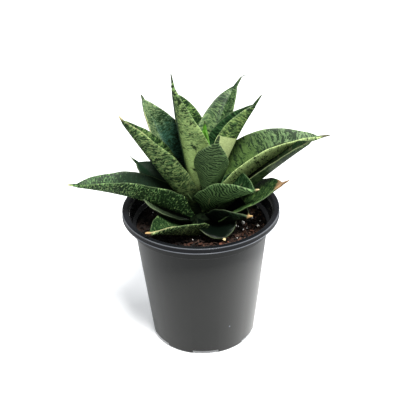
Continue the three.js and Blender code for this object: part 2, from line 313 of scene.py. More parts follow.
def spine(shape):
    """Points along the spine, each with its directions along, across and out of the blade."""
    point = np.array(shape["base"], float)
    step = shape["length"] / SPINE_STEPS
    for i in range(SPINE_STEPS + 1):
        s = i / SPINE_STEPS
        bearing = math.radians(mix(shape["heading"], s))
        slope = math.radians(mix(shape["rise"], s))
        along = np.array([math.cos(slope) * math.cos(bearing),
                          math.cos(slope) * math.sin(bearing), math.sin(slope)])
        across = turn(np.array([-math.sin(bearing), math.cos(bearing), 0.0]), along,
                      math.radians(mix(shape["roll"], s)))
        yield s, point.copy(), along, across, np.cross(along, across)
        point += along * step


def section_stations():
    """Where the points of a section are: (u, side, share of the margin's roundness)."""
    line = np.linspace(-1, 1, ACROSS_STEPS + 1)
    us = 0.55 * line + 0.45 * np.sin(line * math.pi / 2)
    upper = [(u, 1.0, 0.0) for u in us]
    lower = [(u, -1.0, 0.0) for u in us[::-1]]
    right = [(1.0, side, 1.0) for side in (0.6, 0.0, -0.6)]
    left = [(-1.0, side, 1.0) for side in (-0.6, 0.0, 0.6)]
    return upper + right + lower + left


def unevenness(s, seed):
    """For each half of the blade, its ripple as a share of its reach, and its wave in mm."""
    fade = float(smoothstep(0, 0.25, s) * (1 - smoothstep(0.8, 0.95, s)))
    ripple = {hand: RIPPLE * fade * wander(s, seed + 7 * hand, RIPPLE_RATE) for hand in (-1, 1)}
    wave = {hand: WAVE * fade * wander(s, seed + 50 + 7 * hand, WAVE_RATE) for hand in (-1, 1)}
    return ripple, wave


def section_point(station, half, fold, ripple, wave):
    """How far a station of the section lies across the blade and out of it."""
    u, side, edge = station
    hand = 1 if u > 0 else -1
    keel = min(LEAF_THICKNESS, half * 1.6) / 2
    margin = min(MARGIN_THICKNESS, half) / 2
    soft = math.sqrt(1 + CREASE * CREASE) - CREASE
    bow = math.sqrt(u * u + CREASE * CREASE)
    reach = half * (1 + ripple[hand] * abs(u))
    x = reach * u * math.cos(fold)
    z = reach * math.sin(fold) * (bow - CREASE) / soft + wave[hand] * abs(u) ** 3
    slope_x = math.cos(fold)
    slope_z = math.sin(fold) * u / (bow * soft)
    size = math.hypot(slope_x, slope_z)
    thick = margin + (keel - margin) * math.sqrt(1 - u * u)
    round_out = margin * math.sqrt(1 - side * side) * edge * hand
    x += (round_out * slope_x - side * thick * slope_z) / size
    z += (round_out * slope_z + side * thick * slope_x) / size
    return x, z


def blade_points(shape, seed):
    """The blade's points as rings of closed sections, with each point's place in the blade."""
    points, flat, place = [], [], []
    for s, point, along, across, out in spine(shape):
        half = half_width(shape, s) * (0.45 + 0.55 * float(smoothstep(0, 0.13, s)))
        fold = math.radians(mix(shape["fold"], s))
        ripple, wave = unevenness(s, seed)
        for station in section_stations():
            x, z = section_point(station, half, fold, ripple, wave)
            points.append(point + across * x + out * z)
            u, side, _ = station
            flat.append((u * half, s * shape["length"], 1 if side > 0 else -1))
            place.append((u, s, (1 - abs(u)) * half))
    return points, flat, place


def painted(shape, place):
    """How dry, how plain and how cream-edged each point of the blade is."""
    u, s = np.array(place)[:, 0], np.array(place)[:, 1]
    paint = {kind: np.zeros(len(u)) for kind in ("dry", "plain", "cream")}
    start = shape["tip_from"]
    paint["dry"] = smoothstep(start - 0.02, start + 0.02, s + 0.012 * np.sin(u * 9))
    soft = 0.03
    for kind, s_from, s_to, u_from, u_to, strength in shape["marks"]:
        along = smoothstep(s_from - soft, s_from + soft, s) * (1 - smoothstep(s_to - soft, s_to + soft, s))
        across = (smoothstep(u_from - 2 * soft, u_from + 0.01, u)
                  * (1 - smoothstep(u_to - 0.01, u_to + 2 * soft, u)))
        paint[kind] = np.maximum(paint[kind], strength * along * across)
    return np.stack([paint["dry"], paint["plain"], paint["cream"]], axis=1)


def tube(path, radii):
    """Points and faces of a thin round tube along a path."""
    points = []
    for i, p in enumerate(path):
        ahead = path[min(i + 1, len(path) - 1)] - path[max(i - 1, 0)]
        ahead /= np.linalg.norm(ahead)
        first = np.cross(ahead, (0.3, 0.5, 0.81))
        first /= np.linalg.norm(first)
        second = np.cross(ahead, first)
        for angle in circle(HAIR_SIDES):
            points.append(p + radii[i] * (first * math.cos(angle) + second * math.sin(angle)))
    return points, ring_faces(len(path), HAIR_SIDES)


def hair_of(shape):
    """The dried thread at the end of some tips, rooted a little way inside the tip."""
    length, sideways, upwards = shape["hair"]
    *_, (_, point, along, across, out) = spine(shape)
    path, radii = [point - along * HAIR_ROOT], [TIP_RADIUS * 0.9]
    for i in range(HAIR_STEPS):
        t = (i + 1) / HAIR_STEPS
        side, lift = math.radians(sideways * t), math.radians(upwards * t)
        direction = turn(turn(along, out, -side), across, -lift)
        point = point + direction * length / HAIR_STEPS
        path.append(point)
        radii.append(TIP_RADIUS * (0.85 - 0.55 * t))
    return tube(path, radii)


def build_leaf(shape, number):
    """One leaf's blade, with its dried thread where it has one, as one mesh."""
    seed = 100 + number * 13
    points, flat, place = blade_points(shape, seed)
    faces = ring_faces(SPINE_STEPS + 1, len(section_stations()))
    paint = painted(shape, place)
    if shape["hair"]:
        hair_points, hair_faces = hair_of(shape)
        add_shape(points, faces, hair_points, hair_faces)
        flat += [(0, shape["length"], 1)] * len(hair_points)
        place += [(0, 1, 0)] * len(hair_points)
        paint = np.concatenate([paint, [(1, 0, 0)] * len(hair_points)])
    piece = mesh_piece(shape["name"] + "_blade", points, faces, leaf_material(shape, seed),
                       {"flat": flat, "place": place, "paint": paint})
    slot = "young_leaf" if shape["name"] == "leaf_new_centre" else "leaf"
    stand_for(piece, slot, shape["name"])


# ---- node materials ----

class Graph:
    """Builds a material's nodes. Apart from node and finish, each method returns output sockets."""

    def __init__(self, name):
        self.material = bpy.data.materials.new(name)
        self.material.use_nodes = True
        self.nodes = self.material.node_tree.nodes
        self.links = self.material.node_tree.links
        self.nodes.clear()

    def node(self, kind, inputs=None, **settings):
        made = self.nodes.new(kind)
        for key, value in settings.items():
            setattr(made, key, value)
        for key, value in (inputs or {}).items():
            self.feed(made.inputs[key], value)
        return made

    def feed(self, socket, value):
        """Links a socket to the value, or sets it to the value."""
        if isinstance(value, bpy.types.NodeSocket):
            self.links.new(value, socket)
        else:
            socket.default_value = value

    def split(self, vector):
        return self.node("ShaderNodeSeparateXYZ", {0: vector}).outputs

    def attribute(self, name):
        """The three parts of a mesh attribute."""
        return self.split(self.node("ShaderNodeAttribute", attribute_name=name).outputs["Vector"])

    def position(self):
        return self.node("ShaderNodeTexCoord").outputs["Object"]

    def math(self, operation, a, b=0.0):
        return self.node("ShaderNodeMath", {0: a, 1: b}, operation=operation).outputs[0]

    def add(self, a, b):
        return self.math("ADD", a, b)

    def minus(self, a, b):
        return self.math("SUBTRACT", a, b)

    def times(self, a, b):
        return self.math("MULTIPLY", a, b)

    def larger(self, a, b):
        return self.math("MAXIMUM", a, b)

    def centred(self, noise):
        """Noise that varies round 0."""
        return self.add(noise, -0.5)

    def opposite(self, share):
        return self.minus(1.0, share)

    def distance(self, place, point):
        """Distance from a fixed point, in metres."""
        fixed = tuple(c * MM for c in point)
        return self.node("ShaderNodeVectorMath", {0: place, 1: fixed}, operation="DISTANCE").outputs["Value"]

    def vector(self, x, y, z):
        return self.node("ShaderNodeCombineXYZ", {0: x, 1: y, 2: z}).outputs[0]

    def noise(self, vector, scale=1.0, detail=2.0, roughness=0.5, distortion=0.0):
        inputs = {"Vector": vector, "Scale": scale, "Detail": detail, "Roughness": roughness,
                  "Distortion": distortion}
        return self.node("ShaderNodeTexNoise", inputs).outputs["Fac"]

    def streaks(self, x, y, layer, rates, shift=0.0, **settings):
        """Noise with a rate per mm across a blade and another one along it."""
        place = self.vector(self.times(x, rates[0]), self.times(y, rates[1]), self.add(layer, shift))
        return self.noise(place, **settings)

    def step(self, value, low, high):
        """0 below low, 1 above high, and smooth between; low may be above high."""
        return self.node("ShaderNodeMapRange", {"Value": value, "From Min": low, "From Max": high},
                         interpolation_type="SMOOTHSTEP").outputs[0]

    def blend(self, factor, a, b):
        """Colour a where the factor is 0 and colour b where it is 1."""
        made = self.node("ShaderNodeMix", data_type="RGBA")
        for key, kind, value in (("Factor", "VALUE", factor), ("A", "RGBA", a), ("B", "RGBA", b)):
            socket = next(i for i in made.inputs if i.name == key and i.type == kind)
            self.feed(socket, (*value, 1.0) if isinstance(value, tuple) else value)
        return next(o for o in made.outputs if o.type == "RGBA")

    def bump(self, height, distance, strength):
        inputs = {"Height": height, "Distance": distance, "Strength": strength}
        return self.node("ShaderNodeBump", inputs).outputs[0]

    def finish(self, colour, roughness, normal, **fixed):
        """Closes the material with a principled surface and returns the material."""
        inputs = {"Base Color": colour, "Roughness": roughness, "Normal": normal}
        inputs.update({key.replace("_", " "): value for key, value in fixed.items()})
        shader = self.node("ShaderNodeBsdfPrincipled", inputs)
        self.node("ShaderNodeOutputMaterial", {"Surface": shader.outputs[0]})
        return self.material


# ---- leaf skin ----

# Rates of a blade's noises per mm, across and along.
DRIFT_RATES = (0.07, 0.06)
STROKE_RATES = (0.24, 0.80)
SPECKLE_RATES = (0.62, 0.95)
ZONE_RATES = (0.03, 0.09)
RIDGE_RATES = (0.11, 0.34)
BEND_RATES = (0.28, 0.22)
PATCH_RATES = (0.30, 0.55)
FIBRE_RATES = (1.2, 0.25)
STRIAE_RATES = (2.2, 0.10)
SWELL_RATES = (0.2, 0.4)
WANDER_LENGTH = 14.0
CONTOUR_RATE = 0.43
# What is left of a ground's red, green and blue in its middle tone.
MIDDLE = (0.24, 0.36, 0.34)


def scaled(rates, scale):
    return tuple(rate * scale for rate in rates)


def middle_tone(ground):
    return tuple(c * m for c, m in zip(ground, MIDDLE))


def blade_fields(g, shape, seed):
    """Where a point lies in the blade, and the noises that its marks share."""
    f = SimpleNamespace()
    f.x, f.y, side = g.attribute("flat")
    f.u, f.s, f.edge = g.attribute("place")
    f.dry, plain, f.cream = g.attribute("paint")
    f.inner = g.step(side, -0.2, 0.2)
    f.outer = g.opposite(f.inner)
    f.layer = g.add(g.times(side, 5.0), float(seed))
    f.drift = g.streaks(f.x, f.y, f.layer, DRIFT_RATES, detail=1.0)
    f.wavy = g.add(f.y, g.times(g.centred(f.drift), WANDER_LENGTH))
    f.scale = 1 / shape["coarse"]
    f.strokes = g.streaks(f.x, f.wavy, f.layer, scaled(STROKE_RATES, f.scale), detail=4.0, roughness=0.7)
    f.speckle = g.streaks(f.x, f.y, f.layer, SPECKLE_RATES, detail=3.0, roughness=0.6)
    f.cover = mark_cover(g, shape, f)
    f.plain_area = g.step(g.add(plain, g.times(g.centred(f.strokes), 0.6)), 0.42, 0.5)
    # Painted shade: full at the base and gone at dark_to, for the shade inside the rosette.
    f.shaded = g.step(f.s, shape["dark_to"], 0.02)
    return f


def mark_cover(g, shape, f):
    """How much of the ground the dark marks cover, from place to place."""
    inner_cover, outer_cover = shape["inner"][1], shape["outer"][1]
    zone = g.streaks(f.x, f.y, f.layer, ZONE_RATES, shift=40.0, detail=1.0)
    lean = g.times(g.add(f.s, -0.55), shape["tip_dark"])
    cover = g.add(g.add(g.times(f.inner, inner_cover - outer_cover), outer_cover), lean)
    return g.add(cover, g.times(g.centred(zone), shape["zones"]))


def contour_lines(g, f):
    """Fine wavy lines across the outer face."""
    bend = g.streaks(f.x, f.y, f.layer, BEND_RATES, shift=70.0)
    contour = g.add(g.add(g.times(f.y, CONTOUR_RATE), g.times(f.drift, 6.0)), g.times(bend, 1.8))
    stripe = g.add(g.math("SINE", g.times(contour, 2 * math.pi)), g.times(g.centred(f.speckle), 3.2))
    return g.times(g.step(stripe, -0.25, 0.4), f.outer)


def dark_marks(g, shape, f):
    """Marks that run across the blade and wander up and down: blotches, thin cracks and lines."""
    blotches = g.add(g.times(f.strokes, 1 - shape["fleck"]), g.times(f.speckle, shape["fleck"]))
    limit = g.minus(0.70, g.times(f.cover, 0.30))
    dark = g.step(g.minus(blotches, limit), -0.012, 0.02)
    ridge = g.streaks(f.x, f.wavy, f.layer, RIDGE_RATES, shift=23.0, detail=3.0, roughness=0.55)
    ridge = g.math("ABSOLUTE", g.centred(ridge))
    broken = g.step(g.add(f.strokes, g.times(g.centred(f.cover), 0.2)), 0.44, 0.54)
    crack = g.times(g.step(ridge, 0.048, 0.022), broken)
    dark = g.larger(dark, g.times(crack, shape["cracks"]))
    dark = g.larger(dark, g.times(contour_lines(g, f), shape["lines"]))
    return g.times(dark, g.opposite(g.times(f.plain_area, 0.92)))


def flank_area(g, flank, f):
    """Where the flank lies, with an uneven border; on some leaves it is painted shade, on one painted light.
    """
    face, across_range, along_range, _ = flank
    uneven = g.times(g.centred(f.strokes), 0.4)
    area = g.times(g.step(g.add(f.u, uneven), *across_range), g.step(g.add(f.s, uneven), *along_range))
    return g.times(area, f.inner if face > 0 else f.outer)


def ground_colour(g, shape, f):
    """The pale ground, clouded with its middle tone, and bare where the blade has a plain patch."""
    inner_ground, outer_ground = shape["inner"][0], shape["outer"][0]
    ground = g.blend(f.inner, outer_ground, inner_ground)
    middle = g.blend(f.inner, middle_tone(outer_ground), middle_tone(inner_ground))
    if shape["flank"]:
        area, colour = flank_area(g, shape["flank"], f), shape["flank"][3]
        ground = g.blend(area, ground, colour)
        middle = g.blend(area, middle, middle_tone(colour))
    patch = g.streaks(f.x, f.wavy, f.layer, scaled(PATCH_RATES, f.scale), shift=9.0, detail=4.0,
                      roughness=0.65)
    patch = g.add(g.times(patch, 0.7), g.times(f.speckle, 0.3))
    patchy = g.step(g.add(patch, g.times(g.centred(f.cover), 0.22)), 0.475, 0.525)
    ground = g.blend(g.times(patchy, shape["mid"]), ground, middle)
    return g.blend(f.plain_area, ground, PLAIN_PATCH)


def with_margin(g, f, colour):
    """Adds a thin pale margin, cream where it has dried."""
    pale_line = g.times(g.step(f.edge, 0.45, 0.10), g.step(f.s, 0.93, 0.86))
    pale_line = g.times(pale_line, g.opposite(f.shaded))
    colour = g.blend(g.times(pale_line, 0.22), colour, MARGIN_PALE)
    cream_line = g.times(g.step(f.edge, 0.22, 0.06), f.cream)
    cream_line = g.times(cream_line, g.add(g.times(f.inner, 0.75), 0.25))
    return g.blend(cream_line, colour, CREAM)


def with_dried_tip(g, shape, f, colour):
    """Adds the dried, fibrous tip."""
    fibre = g.streaks(f.x, f.y, f.layer, FIBRE_RATES, detail=3.0)
    dried = g.blend(fibre, scaled(shape["tip"], 0.55), shape["tip"])
    return g.blend(f.dry, colour, dried)


def leaf_material(shape, seed):
    """Waxy blade: pale ground, dark wavy cross marks, a fine pale margin, a dried tip and painted shade
    towards the base.
    """
    g = Graph(shape["name"] + "_skin")
    f = blade_fields(g, shape, seed)
    marked = g.times(dark_marks(g, shape, f), shape["marked"])
    colour = g.blend(marked, ground_colour(g, shape, f), shape["deep"])
    specks = g.opposite(g.step(f.speckle, 0.3, 0.7))
    colour = g.blend(g.times(specks, 0.30), colour, shape["deep"])
    # Painted shade towards the base.
    colour = g.blend(g.times(f.shaded, shape["base_dark"]), colour, BLACKISH)
    colour = with_dried_tip(g, shape, f, with_margin(g, f, colour))

    striae = g.streaks(f.x, f.y, f.layer, STRIAE_RATES)
    swell = g.streaks(f.x, f.wavy, f.layer, SWELL_RATES)
    normal = g.bump(g.add(g.times(striae, 0.35), g.times(swell, 0.65)), 0.0006, 0.35)
    rough = g.add(g.add(g.times(f.strokes, 0.16), 0.42), g.times(f.dry, 0.3))
    return g.finish(colour, rough, normal, Specular_IOR_Level=0.22)


# ---- pot ----

POT_SEGMENTS = 240
POT_HEIGHT = 104
RIM_RADIUS = 57
RIM_DROP = 4.5
RIM_BEAD = 0.5
RIM_INNER_RADIUS = 52.6
COLLAR_RADIUS = 51.9
COLLAR_DEPTH = 12
COLLAR_STEP = 1.5
WALL_TOP_RADIUS = 48.4
BASE_RADIUS = 38.4
WALL = 1.2
FLOOR_UNDERSIDE = 3.5
FOOT_WIDTH = 3.4
FOOT_CORNER = 1.4
NOTCH_COUNT = 6
NOTCH_WIDTH = 19
NOTCH_HEIGHT = 3
NOTCH_AZIMUTH = 271
NOTCH_CUT = 12
DRAIN_RADIUS = 4
DRAIN_CIRCLE = 27
DRAIN_CUT = 20
DRAIN_SEGMENTS = 40
SHARP_ANGLE = 40
DARKER_FROM = 99
SCRATCH_AT = (18.9, -36.4, 23.4)
# Painted highlights: paler grey lines round the rim's two outer edges, at these heights and this far up and
# down from them.
HIGHLIGHT_HEIGHTS = (POT_HEIGHT - RIM_DROP + RIM_BEAD, POT_HEIGHT - 0.3)
HIGHLIGHT_REACH = 0.5
DUST = (0.16, 0.16, 0.155)
SCRATCH_BLUE = (0.30, 0.33, 0.42)
HIGHLIGHT_GREY = (0.15, 0.16, 0.18)


def painted_edge_highlights(g, here):
    """Painted highlight lines round the rim's outer edges."""
    x, y, z = g.split(here)
    radius = g.math("SQRT", g.add(g.times(x, x), g.times(y, y)))
    outside = g.step(radius, (RIM_RADIUS - 0.9) * MM, (RIM_RADIUS - 0.6) * MM)
    for height in HIGHLIGHT_HEIGHTS:
        away = g.math("ABSOLUTE", g.add(z, -height * MM))
        yield g.times(g.step(away, HIGHLIGHT_REACH * MM, 0.4 * HIGHLIGHT_REACH * MM), outside)


def pot_material(name, low, high, dust, sheen, gloss, roughness):
    """Injection-moulded black plastic: satin, faintly mottled, with fine dust, scuffs and painted highlight
    lines on the rim.
    """
    g = Graph(name)
    here = g.position()
    broad = g.noise(here, scale=22.0, detail=3.0)
    grain = g.noise(here, scale=900.0)
    scuff = g.noise(here, scale=160.0, detail=5.0, roughness=0.75, distortion=1.2)
    colour = g.blend(broad, low, high)
    colour = g.blend(g.times(g.step(scuff, 0.68, 0.74), dust), colour, DUST)
    ragged = g.add(g.distance(here, SCRATCH_AT), g.times(scuff, 0.0026))
    colour = g.blend(g.step(ragged, 0.0024, 0.0016), colour, SCRATCH_BLUE)
    # Painted highlights along the rim's edges.
    for highlight_line in painted_edge_highlights(g, here):
        colour = g.blend(g.times(highlight_line, g.add(broad, 0.3)), colour, HIGHLIGHT_GREY)
    rough = g.add(g.add(g.times(broad, 0.16), roughness), g.times(grain, 0.06))
    return g.finish(colour, rough, g.bump(grain, 0.00006, 0.5),
                    Specular_IOR_Level=gloss, Sheen_Weight=sheen, Sheen_Roughness=0.45)


def pot_outline():
    """Corners of the pot's section as (radius, height, rounding)."""
    top = POT_HEIGHT
    foot_inner = BASE_RADIUS - FOOT_WIDTH
    collar_foot = top - COLLAR_DEPTH
    wall_top = collar_foot - COLLAR_STEP
    skirt_inner = RIM_RADIUS - WALL - 0.4
    skirt_foot = top - RIM_DROP
    floor_top = FLOOR_UNDERSIDE + WALL + 0.3
    return [
        (foot_inner, FLOOR_UNDERSIDE, 0.3),
        (foot_inner, 0, 0.3),
        (BASE_RADIUS - FOOT_CORNER, 0, 0.5),
        (BASE_RADIUS - 0.3, FOOT_CORNER, 0.8),
        (WALL_TOP_RADIUS, wall_top, 0.7),
        (COLLAR_RADIUS - 0.6, collar_foot, 0.2),
        (COLLAR_RADIUS, top - WALL, 0.3),
        (skirt_inner, top - WALL, 0.3),
        (skirt_inner, skirt_foot, 0.3),
        (RIM_RADIUS - 0.2, skirt_foot, 0.2),
        (RIM_RADIUS, skirt_foot + RIM_BEAD, 0.2),
        (RIM_RADIUS - RIM_BEAD, skirt_foot + 2 * RIM_BEAD, 0.3),
        (RIM_RADIUS - RIM_BEAD, top - WALL, 0.5),
        (RIM_RADIUS, top, 0.9),
        (RIM_INNER_RADIUS, top, 1.2),
        (COLLAR_RADIUS - WALL - 0.6, collar_foot + 0.2, 0.7),
        (WALL_TOP_RADIUS - WALL, wall_top + 0.2, 0.7),
        (BASE_RADIUS - WALL, floor_top, 1.2),
    ]


def rounded(corners, steps=4):
    """A line through the corners with each one rounded off; the two ends stay."""
    line = []
    for i, (r, z, radius) in enumerate(corners):
        here = np.array([r, z], float)
        if i == 0 or i == len(corners) - 1:
            line.append(here)
            continue
        before = np.array(corners[i - 1][:2], float) - here
        after = np.array(corners[i + 1][:2], float) - here
        cut_back = min(radius, 0.45 * np.linalg.norm(before), 0.45 * np.linalg.norm(after))
        start = here + before / np.linalg.norm(before) * cut_back
        end = here + after / np.linalg.norm(after) * cut_back
        for k in range(steps + 1):
            t = k / steps
            line.append(start * (1 - t) ** 2 + here * 2 * t * (1 - t) + end * t ** 2)
    return line


def turned(line, segments):
    """A closed shape of revolution: the line's ends meet the axis."""
    count = len(line)
    points = [around(r, angle, z) for angle in circle(segments) for r, z in line]
    faces = []
    for k in range(segments):
        n = (k + 1) % segments
        for i in range(count - 1):
            faces.append((k * count + i, n * count + i, n * count + i + 1, k * count + i + 1))
    low, high = len(points), len(points) + 1
    points += [(0, 0, line[0][1]), (0, 0, line[-1][1])]
    for k in range(segments):
        n = (k + 1) % segments
        faces.append((low, n * count, k * count))
        faces.append((high, k * count + count - 1, n * count + count - 1))
    return points, faces


def notch_cutter(angle):
    """A box across the foot ring at a bearing."""
    size = np.array((NOTCH_CUT, NOTCH_WIDTH, NOTCH_HEIGHT * 2))
    corners = [np.array([x, y, z]) * size / 2 + np.array((BASE_RADIUS, 0, 0))
               for x in (-1, 1) for y in (-1, 1) for z in (-1, 1)]
    cos, sin = math.cos(angle), math.sin(angle)
    points = [(x * cos - y * sin, x * sin + y * cos, z) for x, y, z in corners]
    faces = [(0, 1, 3, 2), (4, 6, 7, 5), (0, 4, 5, 1), (2, 3, 7, 6), (0, 2, 6, 4), (1, 5, 7, 3)]
    return points, faces


def drain_cutter(angle):
    """An upright drum through the pot's floor at a bearing."""
    centre = around(DRAIN_CIRCLE, angle, 0)[:2]
    points = [around(DRAIN_RADIUS, a, z, centre)
              for z in (-DRAIN_CUT / 2, DRAIN_CUT / 2) for a in circle(DRAIN_SEGMENTS)]
    return points, turned_over(ring_faces(2, DRAIN_SEGMENTS))


def cut(piece, cutters):
    """Subtracts closed shapes from a piece and applies the result."""
    points, faces = [], []
    for cutter in cutters:
        add_shape(points, faces, *cutter)
    tool = mesh_piece("cutter", points, faces, piece.data.materials[0])
    modifier = piece.modifiers.new("cut", "BOOLEAN")
    modifier.operation = "DIFFERENCE"
    modifier.solver = "EXACT"
    modifier.object = tool
    bpy.context.view_layer.update()
    evaluated = piece.evaluated_get(bpy.context.evaluated_depsgraph_get())
    piece.modifiers.clear()
    piece.data = bpy.data.meshes.new_from_object(evaluated)
    bpy.data.objects.remove(tool)


def build_pot():
    """The pot, with its notches and drain holes cut, and a darker surface with less dust and sheen on its
    rim and inside.
    """
    wall = pot_material("dusty_black_plastic", (0.016, 0.017, 0.017), (0.028, 0.029, 0.028),
                        dust=0.35, sheen=0.48, gloss=0.42, roughness=0.30)
    darker_plastic = pot_material("darker_black_plastic", (0.005, 0.006, 0.009), (0.010, 0.011, 0.014),
                         dust=0.15, sheen=0.03, gloss=0.35, roughness=0.16)
    pot = mesh_piece("nursery_pot_shell", *turned(rounded(pot_outline()), POT_SEGMENTS), wall)
    angles = [math.radians(NOTCH_AZIMUTH + i * 360 / NOTCH_COUNT) for i in range(NOTCH_COUNT)]
    cut(pot, [cutter(angle) for angle in angles for cutter in (notch_cutter, drain_cutter)])
    pot.data.materials.append(darker_plastic)
    for polygon in pot.data.polygons:
        polygon.use_smooth = True
        faces_in = polygon.normal.to_2d().dot(polygon.center.to_2d()) < 0
        if faces_in or polygon.center.z > DARKER_FROM * MM:
            polygon.material_index = 1
    pot.data.set_sharp_from_angle(angle=math.radians(SHARP_ANGLE))
    stand_for(pot, "pot_plastic", "nursery_pot")


# ---- soil ----

SOIL_TOP = 93.2
SOIL_BED_RADIUS = 46.9
# The bed's lowest rings, on the pot's floor, as (radius, height).
SOIL_FOOT = [(36.8, 6.4), (35.6, 5.4)]
SOIL_RINGS = 26
SOIL_SEGMENTS = 96
BED_DEPTH = 1.3
BED_PAINT = (0.1, 0.5, 0)
CHIP_COUNT = 1500
CHIP_SPREAD = 46.6
# Chips lie rather flat, so each one's height is squeezed.
CHIP_LIE = (1, 1, 0.55)
GOLDEN = (1 + math.sqrt(5)) / 2

# White grains in plain view on the soil, as (x, y, radius), then how many there are in all and
# how far out the others may lie.
SEEN_GRAINS = [(30.1, -6.7, 1.8), (40.8, -10.1, 1.5), (24.6, -10.6, 1.3), (13.7, -14.2, 1.6),
               (42.0, 18.4, 1.1), (37.0, -0.1, 1.1), (-11.8, -18.3, 1.0), (29.7, -16.4, 1.1)]
GRAIN_COUNT = 46
GRAIN_SPREAD = 44


def bark_material():
    """Bark and peat: each chip has its own brown, with painted shade on the left, from the paint attribute.
    """
    g = Graph("bark_and_peat")
    shade, red, _ = g.attribute("paint")
    fine = g.noise(g.position(), scale=1500.0, detail=4.0, roughness=0.7)
    dark = g.blend(red, (0.0025, 0.0018, 0.0015), (0.007, 0.003, 0.002))
    light = g.blend(red, (0.12, 0.075, 0.054), (0.17, 0.068, 0.042))
    colour = g.blend(g.times(shade, g.add(fine, 0.45)), dark, light)
    return g.finish(colour, g.add(g.times(fine, 0.2), 0.75), g.bump(fine, 0.0003, 0.8))


def perlite_material():
    """White volcanic grains, slightly pitted and dusted with soil."""
    g = Graph("white_grains")
    pits = g.noise(g.position(), scale=1300.0, detail=3.0)
    colour = g.blend(g.step(pits, 0.35, 0.6), (0.55, 0.52, 0.48), (0.95, 0.94, 0.92))
    return g.finish(colour, g.add(g.times(pits, 0.1), 0.8), g.bump(pits, 0.0003, 0.7))


def soil_height(radius):
    """Height of the loose soil at a distance from the pot's axis."""
    return SOIL_TOP - 3.0 * float(smoothstep(38, 49, radius))


def icosahedron():
    """Points and faces of a regular icosahedron of radius 1."""
    a, b = 1.0, GOLDEN
    points = [(-a, b, 0), (a, b, 0), (-a, -b, 0), (a, -b, 0), (0, -a, b), (0, a, b), (0, -a, -b),
              (0, a, -b), (b, 0, -a), (b, 0, a), (-b, 0, -a), (-b, 0, a)]
    faces = [(0, 11, 5), (0, 5, 1), (0, 1, 7), (0, 7, 10), (0, 10, 11), (1, 5, 9), (5, 11, 4),
             (11, 10, 2), (10, 7, 6), (7, 1, 8), (3, 9, 4), (3, 4, 2), (3, 2, 6), (3, 6, 8),
             (3, 8, 9), (4, 9, 5), (2, 4, 11), (6, 2, 10), (8, 6, 7), (9, 8, 1)]
    return np.array(points) / math.sqrt(1 + GOLDEN * GOLDEN), faces


def random_turn(random):
    """A random rotation."""
    q, _ = np.linalg.qr(random.normal(size=(3, 3)))
    if np.linalg.det(q) < 0:
        q[:, 0] = -q[:, 0]
    return q


def soil_bed(random):
    """The uneven body of soil under the loose chips, down to the pot's floor."""
    points, paint = [(0, 0, SOIL_TOP)], [BED_PAINT]
    for r in range(1, SOIL_RINGS + 1):
        radius = SOIL_BED_RADIUS * r / SOIL_RINGS
        for angle in circle(SOIL_SEGMENTS, 0.5 * (r % 2)):
            rough = random.uniform(-0.9, 0.6) if r < SOIL_RINGS else -0.6
            points.append(around(radius, angle, soil_height(radius) - BED_DEPTH + rough))
            paint.append((random.uniform(0, 0.25), random.uniform(0, 1), 0))
    points += [around(radius, angle, z) for radius, z in SOIL_FOOT for angle in circle(SOIL_SEGMENTS)]
    low = len(points)
    points.append((0, 0, SOIL_FOOT[-1][1]))
    paint += [BED_PAINT] * (len(points) - len(paint))
    faces = []
    for k in range(SOIL_SEGMENTS):
        n = (k + 1) % SOIL_SEGMENTS
        faces.append((0, 1 + k, 1 + n))
        faces.append((low, low - SOIL_SEGMENTS + n, low - SOIL_SEGMENTS + k))
    faces += band_faces(SOIL_RINGS + len(SOIL_FOOT), SOIL_SEGMENTS, start=1)
    return points, faces, paint


def build_soil():
    """The soil's bed with loose chips of bark on it, with painted shade that makes the chips darker on the
    left.
    """
    random = np.random.default_rng(11)
    points, faces, paint = soil_bed(random)
    base, chip_faces = icosahedron()
    for _ in range(CHIP_COUNT):
        size = random.uniform(0.9, 2.6) * np.array([1, random.uniform(0.45, 0.8), random.uniform(0.18, 0.4)])
        chip = base * (1 + random.uniform(-0.22, 0.22, size=base[:, :1].shape)) * size
        chip = chip @ (np.diag(CHIP_LIE) @ random_turn(random)).T
        reach = float(np.abs(chip[:, :2]).max())
        radius = (CHIP_SPREAD - reach) * math.sqrt(random.uniform(0, 1))
        angle = random.uniform(0, 2 * math.pi)
        z = soil_height(radius) + random.uniform(-1.6, 0.5)
        add_shape(points, faces, chip + np.array(around(radius, angle, z)), chip_faces)
        # Painted shade: the chips get darker towards the left, where the leaves shade the soil.
        painted_light_share = 0.15 + 0.85 * float(smoothstep(-24, 8, radius * math.cos(angle)))
        shade, red = painted_light_share * random.uniform(0, 1) ** 1.8, random.uniform(0, 1)
        paint += [(shade, red, 0)] * len(base)
    soil = mesh_piece("potting_soil_bark", points, faces, bark_material(), {"paint": paint}, smooth=False)
    stand_for(soil, "soil", "potting_soil")


def build_grains():
    """White grains of perlite among the bark."""
    random = np.random.default_rng(5)
    base, base_faces = icosahedron()
    spots = list(SEEN_GRAINS)
    while len(spots) < GRAIN_COUNT:
        radius, angle = GRAIN_SPREAD * math.sqrt(random.uniform(0.05, 1)), random.uniform(0, 2 * math.pi)
        spots.append(around(radius, angle, random.uniform(0.35, 0.95)))
    points, faces = [], []
    for x, y, size in spots:
        grain = base * (1 + random.uniform(-0.25, 0.25, size=base[:, :1].shape)) * size
        grain = grain @ random_turn(random).T
        z = soil_height(math.hypot(x, y)) + 0.35 * size
        add_shape(points, faces, grain + np.array([x, y, z]), base_faces)
    grains = mesh_piece("perlite_grains", points, faces, perlite_material())
    subdivision = grains.modifiers.new("rounder", "SUBSURF")
    subdivision.levels = subdivision.render_levels = 1
    stand_for(grains, "soil")


# ---- crown ----

CROWN_CENTRE = (3, -3)
CROWN_RADIUS = 13.5
CROWN_FOOT = 84
CROWN_TOP = 104
CROWN_RINGS = 40
CROWN_SEGMENTS = 96


